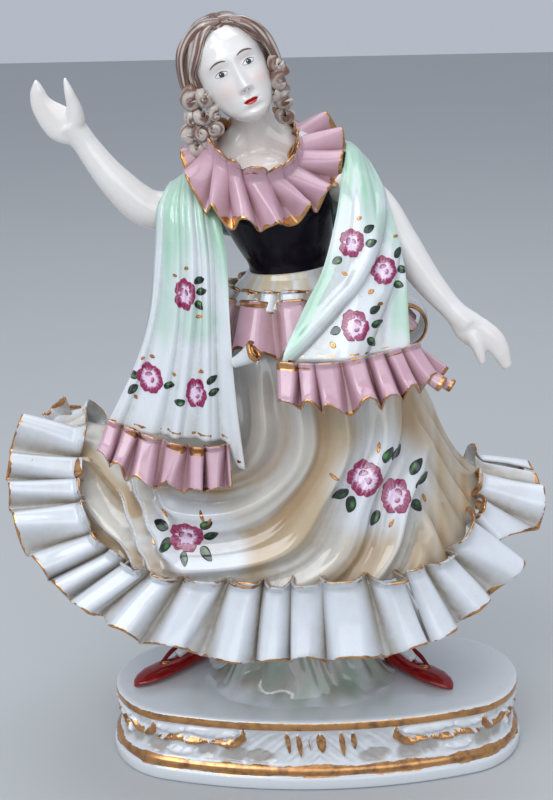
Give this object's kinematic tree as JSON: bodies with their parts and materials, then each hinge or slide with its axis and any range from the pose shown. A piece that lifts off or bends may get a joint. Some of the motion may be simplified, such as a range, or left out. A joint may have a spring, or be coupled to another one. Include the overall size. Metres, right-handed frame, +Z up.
{
  "type": "porcelain dancer figurine",
  "caption": "Glazed porcelain ornament of a dancer with raised arm, ruffled shawl and wide flounced skirt on an oval gilt plinth",
  "frame": {"origin": "centre of the flat underside of the plinth", "axes": "+Z up from the foot to the crown of the hair, -Y the side the dancer faces, +X her left"},
  "size_m": [0.1586, 0.0847, 0.2255],
  "materials": {
    "white_glaze": "clear gloss glaze over white porcelain, burnished gold on the edges and moulded lines",
    "mound_glaze": "gloss glaze over a mottled grey-green wash",
    "red_glaze": "gloss dark red enamel",
    "skirt_glaze": "clear gloss glaze, tan wash in the folds, painted roses",
    "pink_glaze": "gloss dusty pink enamel, burnished gold on the pleated edges",
    "black_glaze": "gloss black enamel",
    "flesh_glaze": "clear gloss glaze over pale porcelain",
    "hair_glaze": "gloss glaze over brushed brown",
    "shawl_glaze": "clear gloss glaze, mint green wash at the edges, painted roses"
  },
  "bodies": {
    "root": {"plinth": "white_glaze", "support_mound": "mound_glaze", "right_shoe": "red_glaze", "left_shoe": "red_glaze", "right_leg": "white_glaze", "left_leg": "white_glaze", "skirt": "skirt_glaze", "flounce_right_wing": "white_glaze", "flounce_front": "white_glaze", "flounce_left_wing": "white_glaze", "flounce_back": "white_glaze", "waistband": "skirt_glaze", "hip_ruffle": "pink_glaze", "sash_roll": "white_glaze", "torso": "black_glaze", "head": "flesh_glaze", "hair": "hair_glaze", "right_ringlets": "hair_glaze", "left_ringlets": "hair_glaze", "collar_ruffle": "pink_glaze", "right_arm": "flesh_glaze", "left_arm": "flesh_glaze", "right_hand": "flesh_glaze", "left_hand": "flesh_glaze", "right_shawl_end": "shawl_glaze", "left_shawl_end": "shawl_glaze", "shawl_back": "shawl_glaze", "right_shawl_ruffle": "pink_glaze", "left_shawl_ruffle": "pink_glaze"}
  },
  "joints": []
}
